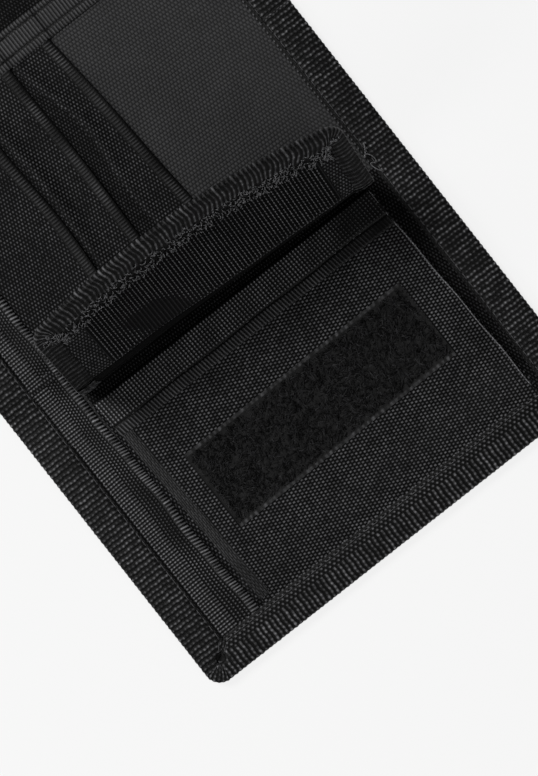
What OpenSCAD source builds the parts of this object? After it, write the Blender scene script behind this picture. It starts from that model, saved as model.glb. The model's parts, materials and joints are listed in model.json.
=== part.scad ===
// Trifold wallet in woven nylon, open flat with its inside up. The coin pocket's flap stands open.
// Millimetres. +X runs across the wallet, from the left binding to the right one.
// +Y runs from the coin panel, over the centre panel, to the third panel. +Z is up.
// The origin is under the middle of the open wallet, in the plane that it lies on.
// Lengths named *_s are measured along Y from the coin panel's free edge.
// Lengths named *_x are measured along X from the wallet's left edge.

/* [Panels] */
// Width of the wallet across X, over both bindings
wallet_w = 138; // [136:1:142]
// Length of the coin panel, from its free edge to its fold line
coin_len = 94; // [94:0.5:95]
// Length of the centre panel, from fold line to fold line
centre_len = 95.5; // [95:0.5:98]
// Length of the third panel, from its fold line to its free edge
third_len = 88.5; // [88:0.5:90]
// Radius of the four corners of the open wallet
corner_r = 5; // [3:0.5:8]
// Half the width of the stretch that bends at each fold line
fold_half = 3; // [2.5:0.5:3]

/* [Layers] */
// Thickness of the binding tape
tape_t = 0.7; // [0.5:0.1:0.7]
// Thickness of the outer shell fabric
shell_t = 0.5; // [0.4:0.1:0.5]
// Thickness of the stiffener behind each panel
stiffener_t = 0.5; // [0.4:0.1:0.5]
// Gap of the empty bill compartment
bill_gap = 0.3; // [0.2:0.1:0.3]
// Thickness of the lining and of the strips sewn on it
lining_t = 0.5; // [0.4:0.1:0.5]

/* [Binding] */
// Width of the binding seen on the inside face
band_w = 11.2; // [10:0.2:12]
// Height of the left binding's inner leg over the stack of card slots
slot_stack = 2.0; // [2:0.1:2.1]
// Width of the strip along the left edge, measured from the wallet's edge
strip_x = 24.4; // [23:0.2:24.4]

/* [Coin pocket] */
// Left side of the pocket
pocket_left_x = 24.8; // [24.8:0.1:26]
// Right side of the pocket
pocket_right_x = 123; // [121:0.5:124]
// Place of the pocket's open edge
pocket_mouth_s = 85.1; // [84:0.1:85.2]
// Clear height inside the pocket
pocket_h = 4.3; // [4.2:0.1:4.3]
// Thickness of the pocket's front
pocket_t = 0.6; // [0.5:0.1:0.6]
// Width of the tape along the pocket's open edge
pocket_hem = 11.8; // [8:0.1:13]
// Thickness of the hook and the loop fastener tapes
grip_t = 1.1; // [0.9:0.1:1.1]
// Left end of the loop strip, and of the hook strip that meets it
grip_left_x = 34.3; // [33:0.1:36]
// Length of the loop and hook strips along X
grip_len = 78; // [76:1:80]
// Lower edge of the loop strip
loop_s = 33.0; // [32:0.1:35]
// Width of the loop strip
loop_w = 26.0; // [22:0.1:27]

/* [Flap] */
// Left side of the flap
flap_left_x = 23; // [22:0.5:24]
// Right side of the flap
flap_right_x = 122.5; // [121:0.5:124]
// Place of the flap's riser behind the pocket's open edge
hinge_s = 90; // [90:0.1:90.2]
// Height of the flap's hinge line
hinge_z = 10.3; // [10.3:0.1:10.4]
// Length of the flap from the hinge line to its crease
root_len = 24; // [22:0.5:25]
// Length of the flap from its crease to the middle of its free edge
tip_len = 33; // [32:0.5:33]
// Angle of the flap's root above the +Y direction
root_angle = 95; // [90:1:97]
// Angle of the flap's tip above the +Y direction
tip_angle = 47; // [45:1:50]
// Width of the binding on the flap's free edge
flap_band = 8; // [7:0.5:8]
// Width of the binding on the flap's two sides
flap_side_band = 6; // [5:0.5:6]

/* [Card slots] */
// Edge of the front card slot
slot_front_x = 46; // [44:0.5:48]
// Edge of the middle card slot
slot_middle_x = 61.6; // [59:0.2:64]
// Edge of the back card slot at its far end
slot_back_x = 75; // [72:0.5:78]
// How much further out the back card slot's edge is at its near end
slot_back_slant = 6; // [0:0.5:8]
// Width of the hem along each slot's edge
slot_hem = 3.4; // [2.5:0.1:4]
// Start of the tape over the far ends of the slots
end_tape_s = 175.3; // [174:0.1:175.5]
// Width of the tape over the far ends of the slots
end_tape_w = 10.1; // [9:0.1:10.2]

/* [Closure and window] */
// Length of the two closure strips along X
closure_len = 60; // [40:1:80]
// Width of the two closure strips
closure_w = 16; // [12:1:16]
// Width of the clear window's frame along X
window_w = 98; // [92:1:100]
// Width of the frame tapes around the clear window
window_tape = 6; // [5:0.5:8]
// Thickness of the clear window film
film_t = 0.3; // [0.2:0.1:0.4]

/* [Hidden] */
$fn = 48;

// Colours of the cloths and tapes
SHELL_C = [0.10, 0.10, 0.11];
LINING_C = [0.17, 0.17, 0.18];
TAPE_C = [0.13, 0.13, 0.14];
SLOT_C = [0.12, 0.12, 0.13];
LOOP_C = [0.05, 0.05, 0.06];
HOOK_C = [0.08, 0.08, 0.09];
BOARD_C = [0.35, 0.35, 0.36];
FILM_C = [0.75, 0.78, 0.80, 0.4];

// Whole lengths and the fold lines
total_len = coin_len + centre_len + third_len;
y_free = -total_len / 2;
y_far = total_len / 2;
y_fold_coin = y_free + coin_len;
y_fold_third = y_fold_coin + centre_len;
half_w = wallet_w / 2;
// Room between a tape's inside and the cloth in it
ease = 0.1;
sheet_inset = tape_t + ease;
// Bevel on the outer edges of a folded tape
tape_bevel = 0.3;

// Heights of the layers
z_shell = tape_t;
z_stiffener = z_shell + shell_t;
z_lining = z_stiffener + stiffener_t + bill_gap;
z_inside = z_lining + lining_t;
z_leg_low = z_inside + lining_t;
z_leg_high = z_inside + slot_stack;
slot_t = 0.4;
slot_step = 0.5;
z_pocket = z_inside + pocket_h;
z_pocket_top = z_pocket + pocket_t;

// Places on the panels
pocket_x0 = pocket_left_x - half_w;
pocket_x1 = pocket_right_x - half_w;
strip_x1 = strip_x - half_w;
grip_x0 = grip_left_x - half_w;
y_mouth = y_free + pocket_mouth_s;
y_end_tape = y_free + end_tape_s;
slot_y0 = y_fold_coin + fold_half + 1;
slot_y1 = y_end_tape + end_tape_w - 1;

// Flap
cloth_t = 0.5;
flap_x0 = flap_left_x - half_w;
flap_x1 = flap_right_x - half_w;
flap_mid = (flap_x0 + flap_x1) / 2;
flap_half = (flap_x1 - flap_x0) / 2;
crease_room = 0.8;
riser_t = 0.8;
riser_clear = 0.7;
y_hinge = y_free + hinge_s;
// Exponent of the rounded outline of the flap's tip
flap_round = 8;
flap_steps = 40;

// Closure strips: the hook strip on the third panel meets the loop strip on the closed coin panel
y_hook = y_far - band_w - 0.8 - closure_w;
y_loop = 2 * y_fold_coin - 2 * y_fold_third + y_hook;
closure_loop_z = 0.05;

// Clear window
window_x0 = strip_x1 + 1;
window_y0 = y_fold_third + fold_half + 1;
window_y1 = y_hook - 1;

// A flat plate from corner to corner
module plate(x0, x1, y0, y1, z, t) {
  translate([x0, y0, z]) cube([x1 - x0, y1 - y0, t]);
}

// Outline of an end panel: free end at y = inset, fold end at y = len, with two round corners
module panel_outline(len, inset) {
  r = corner_r - inset;
  w = half_w - inset;
  translate([-w, corner_r]) square([2 * w, len - corner_r]);
  translate([-half_w + corner_r, inset]) square([2 * (half_w - corner_r), len - inset]);
  for (side = [-1, 1]) translate([side * (half_w - corner_r), corner_r]) circle(r);
}

// Puts an end panel's drawing in place: the coin panel's, or the third panel's mirrored
module at_coin() { translate([0, y_free, 0]) children(); }
module at_third() { translate([0, y_far, 0]) mirror([0, 1, 0]) children(); }

// A layer of an end panel, short of the stretch that bends
module end_layer(len, z, t) {
  translate([0, 0, z]) linear_extrude(t) panel_outline(len - fold_half, sheet_inset);
}

// Section of a folded tape, open to +X, width w and height h
module tape_section(w, h, t) {
  b = min(tape_bevel, t / 2);
  polygon([
    [0, b], [b, 0], [w, 0], [w, t], [t, t], [t, h - t], [w, h - t], [w, h], [b, h], [0, h - b]
  ]);
}

// A folded tape along Y around the edge at x_edge, which faces -X when side is -1
module edge_band(x_edge, side, y0, y1, w, z, h, t) {
  translate([x_edge, y1, z])
    mirror([side > 0 ? 1 : 0, 0, 0])
      rotate([90, 0, 0]) linear_extrude(y1 - y0) tape_section(w, h, t);
}

// The wallet's binding on one side, with its inner leg at z_leg
module side_binding(side, y0, y1, z_leg) {
  color(TAPE_C) edge_band(side * half_w, side, y0, y1, band_w, 0, z_leg + tape_t, tape_t);
}

// The binding around the free end of an end panel
module end_binding() {
  h = z_leg_low + tape_t;
  color(TAPE_C) {
    linear_extrude(tape_t) panel_outline(band_w, 0);
    translate([0, 0, z_leg_low]) linear_extrude(tape_t) panel_outline(band_w, 0);
    linear_extrude(h) difference() {
      panel_outline(band_w, 0);
      panel_outline(band_w + 1, tape_t);
    }
  }
}

// --- Centre panel ---
cy0 = y_fold_coin + fold_half;
cy1 = y_fold_third - fold_half;
sheet_w = half_w - sheet_inset;

module shell_centre() { color(SHELL_C) plate(-sheet_w, sheet_w, cy0, cy1, z_shell, shell_t); }
module stiffener_centre() { color(BOARD_C) plate(-sheet_w, sheet_w, cy0, cy1, z_stiffener, stiffener_t); }
module lining_centre() { color(LINING_C) plate(-sheet_w, sheet_w, cy0, cy1, z_lining, lining_t); }
module binding_left_centre() { side_binding(-1, cy0, cy1, z_leg_high); }
module binding_right_centre() { side_binding(1, cy0, cy1, z_leg_low); }

// One card slot: a cloth from under the left binding to the hem on its right edge
module slot_cloth(level, x_far, x_near) {
  z = z_inside + level * slot_step + ease;
  color(SLOT_C) translate([0, 0, z]) linear_extrude(slot_t) polygon([
    [-sheet_w, slot_y0], [x_near - slot_hem, slot_y0],
    [x_far - slot_hem, slot_y1], [-sheet_w, slot_y1]
  ]);
}
module slot_edge_hem(level, x_far, x_near) {
  z = z_inside + level * slot_step + ease / 2;
  color(TAPE_C) translate([0, 0, z]) linear_extrude(slot_t + ease / 2) polygon([
    [x_near - slot_hem, slot_y0], [x_near, slot_y0], [x_far, slot_y1], [x_far - slot_hem, slot_y1]
  ]);
}
back_far = slot_back_x - half_w;
back_near = back_far + slot_back_slant;
middle_edge = slot_middle_x - half_w;
front_edge = slot_front_x - half_w;
module card_slot_back() { slot_cloth(0, back_far, back_near); }
module card_slot_middle() { slot_cloth(1, middle_edge, middle_edge); }
module card_slot_front() { slot_cloth(2, front_edge, front_edge); }
module slot_hem_back() { slot_edge_hem(0, back_far, back_near); }
module slot_hem_middle() { slot_edge_hem(1, middle_edge, middle_edge); }
module slot_hem_front() { slot_edge_hem(2, front_edge, front_edge); }

// The tape steps down over the edges of the slots from left to right
module slot_end_tape() {
  edges = [strip_x1 + ease, front_edge + 1, middle_edge + 1, back_far + 2, half_w - band_w - ease];
  color(TAPE_C) for (i = [0:3]) {
    z = z_inside + (3 - i) * slot_step;
    lap = i < 3 ? slot_step : 0;
    plate(edges[i], edges[i + 1] + lap, y_end_tape, y_end_tape + end_tape_w, z, slot_step);
  }
}
module edge_strip_centre() {
  color(SLOT_C) plate(-sheet_w, strip_x1, cy0, cy1, z_leg_high - lining_t, lining_t);
}

// --- The stretches that bend at the two fold lines ---
module fold_layer(y_fold, z, t) {
  plate(-sheet_w, sheet_w, y_fold - fold_half, y_fold + fold_half, z, t);
}
module fold_binding(y_fold, side) {
  side_binding(side, y_fold - fold_half, y_fold + fold_half, z_leg_low);
}
module fold_shell_coin() { color(SHELL_C) fold_layer(y_fold_coin, z_shell, shell_t); }
module fold_lining_coin() { color(LINING_C) fold_layer(y_fold_coin, z_lining, lining_t); }
module fold_binding_left_coin() { fold_binding(y_fold_coin, -1); }
module fold_binding_right_coin() { fold_binding(y_fold_coin, 1); }
module fold_shell_third() { color(SHELL_C) fold_layer(y_fold_third, z_shell, shell_t); }
module fold_lining_third() { color(LINING_C) fold_layer(y_fold_third, z_lining, lining_t); }
module fold_binding_left_third() { fold_binding(y_fold_third, -1); }
module fold_binding_right_third() { fold_binding(y_fold_third, 1); }

// --- Coin panel ---
coin_y1 = y_fold_coin - fold_half;
module shell_coin() { color(SHELL_C) at_coin() end_layer(coin_len, z_shell, shell_t); }
module stiffener_coin() { color(BOARD_C) at_coin() end_layer(coin_len, z_stiffener, stiffener_t); }
module lining_coin() { color(LINING_C) at_coin() end_layer(coin_len, z_lining, lining_t); }
module binding_left_coin() { side_binding(-1, y_free + band_w, coin_y1, z_leg_low); }
module binding_right_coin() { side_binding(1, y_free + band_w, coin_y1, z_leg_low); }
module binding_end_coin() { at_coin() end_binding(); }
module edge_strip_coin() {
  color(SLOT_C) plate(-sheet_w, strip_x1, y_free + corner_r, coin_y1, z_inside, lining_t);
}
// Loop tape on the outside of the coin panel, which the third panel's hook strip meets when shut
module closure_loop_strip() {
  color(LOOP_C) plate(-closure_len / 2, closure_len / 2, y_loop, y_loop + closure_w,
    closure_loop_z, z_shell - closure_loop_z);
}

// The pocket's front rises from under the end binding and runs level to its open edge
rise_s = band_w + 0.8;
level_s = rise_s + 5;
module pocket_front() {
  color(SLOT_C) translate([pocket_x0, y_free, 0]) rotate([90, 0, 90])
    linear_extrude(pocket_x1 - pocket_x0) polygon([
      [corner_r, z_inside], [rise_s, z_inside], [level_s, z_pocket], [pocket_mouth_s, z_pocket],
      [pocket_mouth_s, z_pocket_top], [level_s - 0.4, z_pocket_top],
      [rise_s - 0.4, z_leg_low], [corner_r, z_leg_low]
    ]);
}
module pocket_hem_tape() {
  color(TAPE_C) plate(pocket_x0, pocket_x1, y_mouth - pocket_hem, y_mouth, z_pocket_top, slot_t);
}
// A side wall of the pocket, between the lining and the front
module gusset(x) {
  color(SLOT_C) translate([x, y_free, 0]) rotate([90, 0, 90]) linear_extrude(cloth_t) polygon([
    [rise_s, z_inside], [pocket_mouth_s, z_inside], [pocket_mouth_s, z_pocket], [level_s, z_pocket]
  ]);
}
module gusset_left() { gusset(pocket_x0); }
module gusset_right() { gusset(pocket_x1 - cloth_t); }
module pocket_loop_strip() {
  color(LOOP_C) plate(grip_x0, grip_x0 + grip_len, y_free + loop_s, y_free + loop_s + loop_w,
    z_pocket_top, grip_t);
}
// The riser holds the flap up behind the pocket's open edge
module flap_riser() {
  color(LINING_C) plate(flap_x0, flap_x1, y_hinge - riser_t / 2, y_hinge + riser_t / 2,
    z_inside, hinge_z - riser_clear - z_inside);
}

// --- Flap: drawn flat, with its inner face up and its length along +Y, then turned in place ---
module at_root() { translate([0, y_hinge, hinge_z]) rotate([root_angle, 0, 0]) children(); }
module at_tip() {
  translate([0, y_hinge + root_len * cos(root_angle), hinge_z + root_len * sin(root_angle)])
    rotate([tip_angle, 0, 0]) children();
}
root_v0 = crease_room;
root_v1 = root_len - crease_room;
flap_inset = cloth_t + ease;
module root_layer(z) { plate(flap_x0 + flap_inset, flap_x1 - flap_inset, root_v0, root_v1, z, cloth_t); }
module root_band(x, side) {
  color(TAPE_C) at_root() edge_band(x, side, root_v0, root_v1, flap_side_band, -2 * cloth_t,
    4 * cloth_t, cloth_t);
}
module flap_root_face() { color(SHELL_C) at_root() root_layer(-cloth_t); }
module flap_root_lining() { color(LINING_C) at_root() root_layer(0); }
module flap_root_binding_left() { root_band(flap_x0, -1); }
module flap_root_binding_right() { root_band(flap_x1, 1); }

// Outline of the flap's tip: straight sides, round corners and an arched free edge
function round_power(c) = sign(c) * pow(abs(c), 2 / flap_round);
module tip_outline(side_inset, end_inset) {
  w = flap_half - side_inset;
  len = tip_len - end_inset - crease_room;
  translate([flap_mid, crease_room]) polygon([
    for (i = [0:flap_steps]) let (a = 180 * i / flap_steps)
      [w * round_power(cos(a)), len * round_power(sin(a))]
  ]);
}
module flap_tip_face() {
  color(SHELL_C) at_tip() translate([0, 0, -cloth_t]) linear_extrude(cloth_t)
    tip_outline(flap_inset, flap_inset);
}
module flap_tip_lining() {
  color(LINING_C) at_tip() linear_extrude(cloth_t) tip_outline(flap_inset, flap_inset);
}
module tip_ring(side_w, end_w) {
  difference() {
    tip_outline(0, 0);
    translate([0, -crease_room]) tip_outline(side_w, end_w - crease_room);
    translate([flap_x0 + side_w, 0]) square([2 * (flap_half - side_w), 2 * crease_room]);
  }
}
module flap_tip_binding() {
  color(TAPE_C) at_tip() {
    for (z = [-2 * cloth_t, cloth_t])
      translate([0, 0, z]) linear_extrude(cloth_t) tip_ring(flap_side_band, flap_band);
    translate([0, 0, -2 * cloth_t]) linear_extrude(4 * cloth_t) tip_ring(cloth_t, cloth_t);
  }
}
// Hook tape on the inner face of the flap's tip
hook_end = tip_len - flap_band - 1;
module flap_hook_strip() {
  color(HOOK_C) at_tip()
    plate(grip_x0 + 1.5, grip_x0 + grip_len, crease_room + 0.2, hook_end, cloth_t, grip_t);
}

// --- Third panel ---
third_y0 = y_fold_third + fold_half;
module shell_third() { color(SHELL_C) at_third() end_layer(third_len, z_shell, shell_t); }
module stiffener_third() { color(BOARD_C) at_third() end_layer(third_len, z_stiffener, stiffener_t); }
module lining_third() { color(LINING_C) at_third() end_layer(third_len, z_lining, lining_t); }
module binding_left_third() { side_binding(-1, third_y0, y_far - band_w, z_leg_low); }
module binding_right_third() { side_binding(1, third_y0, y_far - band_w, z_leg_low); }
module binding_end_third() { at_third() end_binding(); }
module edge_strip_third() {
  color(SLOT_C) plate(-sheet_w, strip_x1, third_y0, y_far - corner_r, z_inside, lining_t);
}
module closure_hook_strip() {
  color(HOOK_C) plate(-closure_len / 2, closure_len / 2, y_hook, y_hook + closure_w, z_inside, grip_t);
}
// The clear window is sewn down on three sides and opens at its fourth, towards the right binding
window_x1 = window_x0 + window_w;
z_film = z_inside + lining_t / 2;
z_frame = z_film + film_t;
module window_film() {
  color(FILM_C) plate(window_x0, window_x1, window_y0, window_y1, z_film, film_t);
}
module window_strip(x0, x1, y0, y1) { color(TAPE_C) plate(x0, x1, y0, y1, z_frame, slot_t); }
module window_tape_left() { window_strip(window_x0, window_x0 + window_tape, window_y0, window_y1); }
module window_tape_near() {
  window_strip(window_x0 + window_tape, window_x1 - window_tape, window_y0, window_y0 + window_tape);
}
module window_tape_far() {
  window_strip(window_x0 + window_tape, window_x1 - window_tape, window_y1 - window_tape, window_y1);
}
module window_tape_mouth() { window_strip(window_x1 - window_tape, window_x1, window_y0, window_y1); }

shell_centre();
stiffener_centre();
lining_centre();
binding_left_centre();
binding_right_centre();
card_slot_back();
card_slot_middle();
card_slot_front();
slot_hem_back();
slot_hem_middle();
slot_hem_front();
slot_end_tape();
edge_strip_centre();
fold_shell_coin();
fold_lining_coin();
fold_binding_left_coin();
fold_binding_right_coin();
fold_shell_third();
fold_lining_third();
fold_binding_left_third();
fold_binding_right_third();
shell_coin();
stiffener_coin();
lining_coin();
binding_left_coin();
binding_right_coin();
binding_end_coin();
edge_strip_coin();
closure_loop_strip();
pocket_front();
pocket_hem_tape();
gusset_left();
gusset_right();
pocket_loop_strip();
flap_riser();
shell_third();
stiffener_third();
lining_third();
binding_left_third();
binding_right_third();
binding_end_third();
edge_strip_third();
closure_hook_strip();
window_film();
window_tape_left();
window_tape_near();
window_tape_far();
window_tape_mouth();
flap_root_face();
flap_root_lining();
flap_root_binding_left();
flap_root_binding_right();
flap_tip_face();
flap_tip_lining();
flap_tip_binding();
flap_hook_strip();
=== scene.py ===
"""Trifold wallet in black woven nylon: the looks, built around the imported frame.

Lengths are millimetres until a mesh is made, and then metres. x runs across the wallet, y from the coin
panel to the third panel, and z up. Every cloth and tape is a thin closed solid. UV maps hold millimetres on
the cloth, so that a weave keeps its size and stays on the cloth when it bends.
"""

import json
import math

import bpy
import numpy as np
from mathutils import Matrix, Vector


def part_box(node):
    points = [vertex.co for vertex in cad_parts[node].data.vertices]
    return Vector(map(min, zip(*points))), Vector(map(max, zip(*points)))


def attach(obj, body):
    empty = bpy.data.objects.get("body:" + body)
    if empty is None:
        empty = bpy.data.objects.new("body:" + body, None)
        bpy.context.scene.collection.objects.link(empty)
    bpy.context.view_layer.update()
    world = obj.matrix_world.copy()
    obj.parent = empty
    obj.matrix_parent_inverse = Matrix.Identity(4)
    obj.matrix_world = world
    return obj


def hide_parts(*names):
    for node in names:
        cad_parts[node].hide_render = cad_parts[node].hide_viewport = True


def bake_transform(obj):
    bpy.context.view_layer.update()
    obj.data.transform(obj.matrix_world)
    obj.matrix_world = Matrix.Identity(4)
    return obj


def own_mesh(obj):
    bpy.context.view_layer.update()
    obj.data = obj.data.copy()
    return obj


MM = 0.001
SEED = 7
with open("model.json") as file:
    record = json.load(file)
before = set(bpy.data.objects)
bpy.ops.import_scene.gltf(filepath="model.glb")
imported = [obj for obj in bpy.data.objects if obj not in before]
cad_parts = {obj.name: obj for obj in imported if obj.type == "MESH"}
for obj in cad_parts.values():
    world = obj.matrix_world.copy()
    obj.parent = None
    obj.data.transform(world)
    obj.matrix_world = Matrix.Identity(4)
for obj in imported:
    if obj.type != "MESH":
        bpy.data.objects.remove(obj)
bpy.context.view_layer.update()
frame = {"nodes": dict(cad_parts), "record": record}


# ---- places from the frame
def span(node):
    """Lowest and highest corner of a CAD node, in millimetres."""
    low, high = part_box(node)
    return np.array(low) / MM, np.array(high) / MM


def axis_point(joint):
    """A point on a joint's axis, in millimetres."""
    places = {j["name"]: j["pos_m"] for j in frame["record"]["behaviour"]["joints"]}
    return np.array(places[joint]) / MM


END_LOW, END_HIGH = span("binding_end_coin")
HALF_W = END_HIGH[0]
Y_FREE = END_LOW[1]
Y_FAR = span("binding_end_third")[1][1]
BAND_W = END_HIGH[1] - Y_FREE
Z_BINDING = END_HIGH[2]
Y_FOLD_COIN = axis_point("fold_coin")[1]
Y_FOLD_THIRD = axis_point("fold_third")[1]
Y_MIDDLE = (Y_FOLD_COIN + Y_FOLD_THIRD) / 2
Z_INSIDE = span("lining_centre")[1][2]
Z_SHELL, Z_SHELL_TOP = (corner[2] for corner in span("shell_centre"))
SHEET_HALF = span("lining_centre")[1][0]
CORNER_R = 5.0  # the wallet's rounded corners
CORNER_PIT = 6.7  # how far in from both edges the ribs fan out at a corner
RIB_PITCH = 1.55  # of the binding
TAPE_T = 0.6


# ---- numbers and grids
def xyz(*parts):
    """Points from two or three coordinates, which are arrays that fit together or plain numbers."""
    return np.stack(np.broadcast_arrays(*parts), -1)


def placed(place, *parts):
    """Points from their coordinates, moved by place, which takes them as one list."""
    points = xyz(*parts)
    return place(points.reshape(-1, 3)).reshape(points.shape)


def spaced(low, high, step):
    """Even values from low to high, about step apart."""
    return np.linspace(low, high, max(2, int(round((high - low) / step)) + 1))


def lattice(x_from, x_to, x_step, y_from, y_to, y_step):
    """x and y of an even grid."""
    return np.meshgrid(spaced(x_from, x_to, x_step), spaced(y_from, y_to, y_step))


def lengths(vectors):
    """The length of each vector, kept as a last axis of one."""
    return np.linalg.norm(vectors, axis=-1, keepdims=True)


def smoothstep(low, high, value):
    """0 below low, 1 above high, and a smooth rise between them."""
    t = np.clip((value - low) / (high - low), 0, 1)
    return t * t * (3 - 2 * t)


def bell(value, width):
    """A hump of height 1 at value 0, with most of it within width."""
    return np.exp(-((value / width) ** 2))


def wave(turns):
    """A smooth hump from 0 to 1 and back for each whole turn."""
    return 0.5 + 0.5 * np.cos(2 * math.pi * turns)


def hashed(a, b):
    """A repeatable value from 0 to 1 for each pair of whole numbers."""
    return np.mod(np.sin(a * 12.9898 + b * 78.233) * 43758.5453, 1.0)


def ripple(x, y, size, seed):
    """A soft, repeatable unevenness from -1 to 1, with hollows about size millimetres across."""
    pick = np.random.default_rng(seed)
    total = np.zeros(np.broadcast(x, y).shape)
    for _ in range(6):
        angle, phase = pick.uniform(0, 2 * math.pi, 2)
        rate = 2 * math.pi / (size * pick.uniform(0.7, 1.6))
        total = total + np.sin(rate * (x * math.cos(angle) + y * math.sin(angle)) + phase)
    return total / 6


# ---- mesh helpers
def linked(name, data):
    """A new object in the scene."""
    obj = bpy.data.objects.new(name, data)
    bpy.context.scene.collection.objects.link(obj)
    return obj


def grid_quads(rows, cols, wrap=False):
    """Quads of a rows by cols grid of points. wrap joins the last column to the first."""
    r, c = np.meshgrid(np.arange(rows - 1), np.arange(cols if wrap else cols - 1), indexing="ij")
    d = (c + 1) % cols
    return np.stack([r * cols + c, r * cols + d, (r + 1) * cols + d, (r + 1) * cols + c], -1).reshape(-1, 4)


def add_mesh(name, points, quads, material, uv, relief=None):
    """A mesh from points in millimetres, with cloth millimetres as UVs and a relief value from 0 to 1."""
    points = np.asarray(points, float).reshape(-1, 3)
    quads = np.asarray(quads, np.int32).reshape(-1, 4)
    a, b, c, d = (points[quads[:, k]] for k in range(4))
    if np.sum(a * np.cross(b, c)) + np.sum(a * np.cross(c, d)) < 0:  # the faces looked inwards
        quads = quads[:, ::-1]
    mesh = bpy.data.meshes.new(name)
    mesh.vertices.add(len(points))
    mesh.vertices.foreach_set("co", (points * MM).astype(np.float32).ravel())
    mesh.loops.add(quads.size)
    mesh.loops.foreach_set("vertex_index", quads.ravel())
    mesh.polygons.add(len(quads))
    mesh.polygons.foreach_set("loop_start", np.arange(0, quads.size, 4, dtype=np.int32))
    mesh.update(calc_edges=True)
    layer = mesh.uv_layers.new(name="cloth_mm")
    layer.data.foreach_set("uv", np.asarray(uv, np.float32).reshape(-1, 2)[quads.ravel()].ravel())
    if relief is not None:
        values = mesh.attributes.new("relief", "FLOAT", "POINT")
        values.data.foreach_set("value", np.asarray(relief, np.float32).ravel())
    mesh.polygons.foreach_set("use_smooth", np.full(len(quads), True))
    mesh.validate()
    mesh.materials.append(material)
    return linked(name, mesh)


def closed_sheet(name, upper, lower, material, uv=None, relief=None):
    """A closed solid between two grids of points, with a rim all round."""
    rows, cols, _ = upper.shape
    count = rows * cols
    top_quads = grid_quads(rows, cols)
    index = np.arange(count).reshape(rows, cols)
    rim = np.concatenate([index[0], index[1:, -1], index[-1, -2::-1], index[-2:0:-1, 0]])
    after = np.roll(rim, -1)
    sides = np.stack([rim, rim + count, after + count, after], -1)
    quads = np.concatenate([top_quads, top_quads[:, ::-1] + count, sides])
    uv = upper[..., :2] if uv is None else uv
    if relief is not None:
        relief = np.concatenate([relief, relief])
    obj = add_mesh(name, np.concatenate([upper, lower]), quads, material, np.concatenate([uv, uv]), relief)
    obj.data.set_sharp_from_angle(angle=math.radians(62))
    return obj


def cloth(name, x, y, top, thick, material, relief=None):
    """A closed sheet over a grid: x, y and top are rows by cols arrays, and it hangs thick below top."""
    return closed_sheet(name, xyz(x, y, top), xyz(x, y, top - thick), material, relief=relief)


def tubes(name, paths, radius, material, lean=(0.31, 0.17, 0.93), one_shade=False):
    """Many four-sided threads as one mesh. paths is threads by points by 3; both ends are closed.
    one_shade keeps the material's noise the same all along a thread."""
    n, rings, _ = paths.shape
    along = np.gradient(paths, axis=1)
    along /= lengths(along) + 1e-9
    side = np.cross(along, np.asarray(lean))
    side /= lengths(side) + 1e-9
    up = np.cross(side, along)
    turn = (np.array([0.25, 0.75, 1.25, 1.75]) * math.pi)[None, None, :, None]
    points = paths[:, :, None] + radius * (np.cos(turn) * side[:, :, None] + np.sin(turn) * up[:, :, None])
    last = 4 * rings - 4
    one = np.concatenate([grid_quads(rings, 4, True), [[3, 2, 1, 0], [last, last + 1, last + 2, last + 3]]])
    quads = (one[None] + (np.arange(n) * rings * 4)[:, None, None]).reshape(-1, 4)
    shade_at = np.broadcast_to(paths[:, :1, None], points.shape) if one_shade else points
    return add_mesh(name, points, quads, material, shade_at[..., :2])


# ---- putting a piece on its body, and hiding the CAD nodes it replaces
def belongs(obj, body, slot, *nodes):
    """The piece rides on a body and may stand for CAD nodes, which are hidden. slot is not used."""
    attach(obj, body)
    if nodes:
        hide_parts(*nodes)


def cloth_on(body, slot, nodes, name, x, y, top, thick, material, relief=None):
    """A cloth that rides on a body and stands for CAD nodes."""
    obj = cloth(name, x, y, top, thick, MAT[material], relief)
    belongs(obj, body, slot, *nodes)
    return obj


def half_ends(half):
    """Free end, fold line, direction from the free end and second body of one half of the wallet."""
    if half == "coin":
        return Y_FREE, Y_FOLD_COIN, 1, "coin_panel"
    return Y_FAR, Y_FOLD_THIRD, -1, "third_panel"


def bend_with(obj):
    """Bakes the piece's transform into its mesh."""
    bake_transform(obj)


def replace_half(half, kinds, ends=(), folds=True):
    """The piece stands for the half's nodes of these kinds. The coin half also takes the centre panel's."""
    names = [f"{kind}_{half}" for kind in (*kinds, *ends)]
    if folds:
        names += [f"fold_{kind}_{half}" for kind in kinds]
    if half == "coin":
        names += [f"{kind}_centre" for kind in kinds]
    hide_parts(*names)


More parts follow.
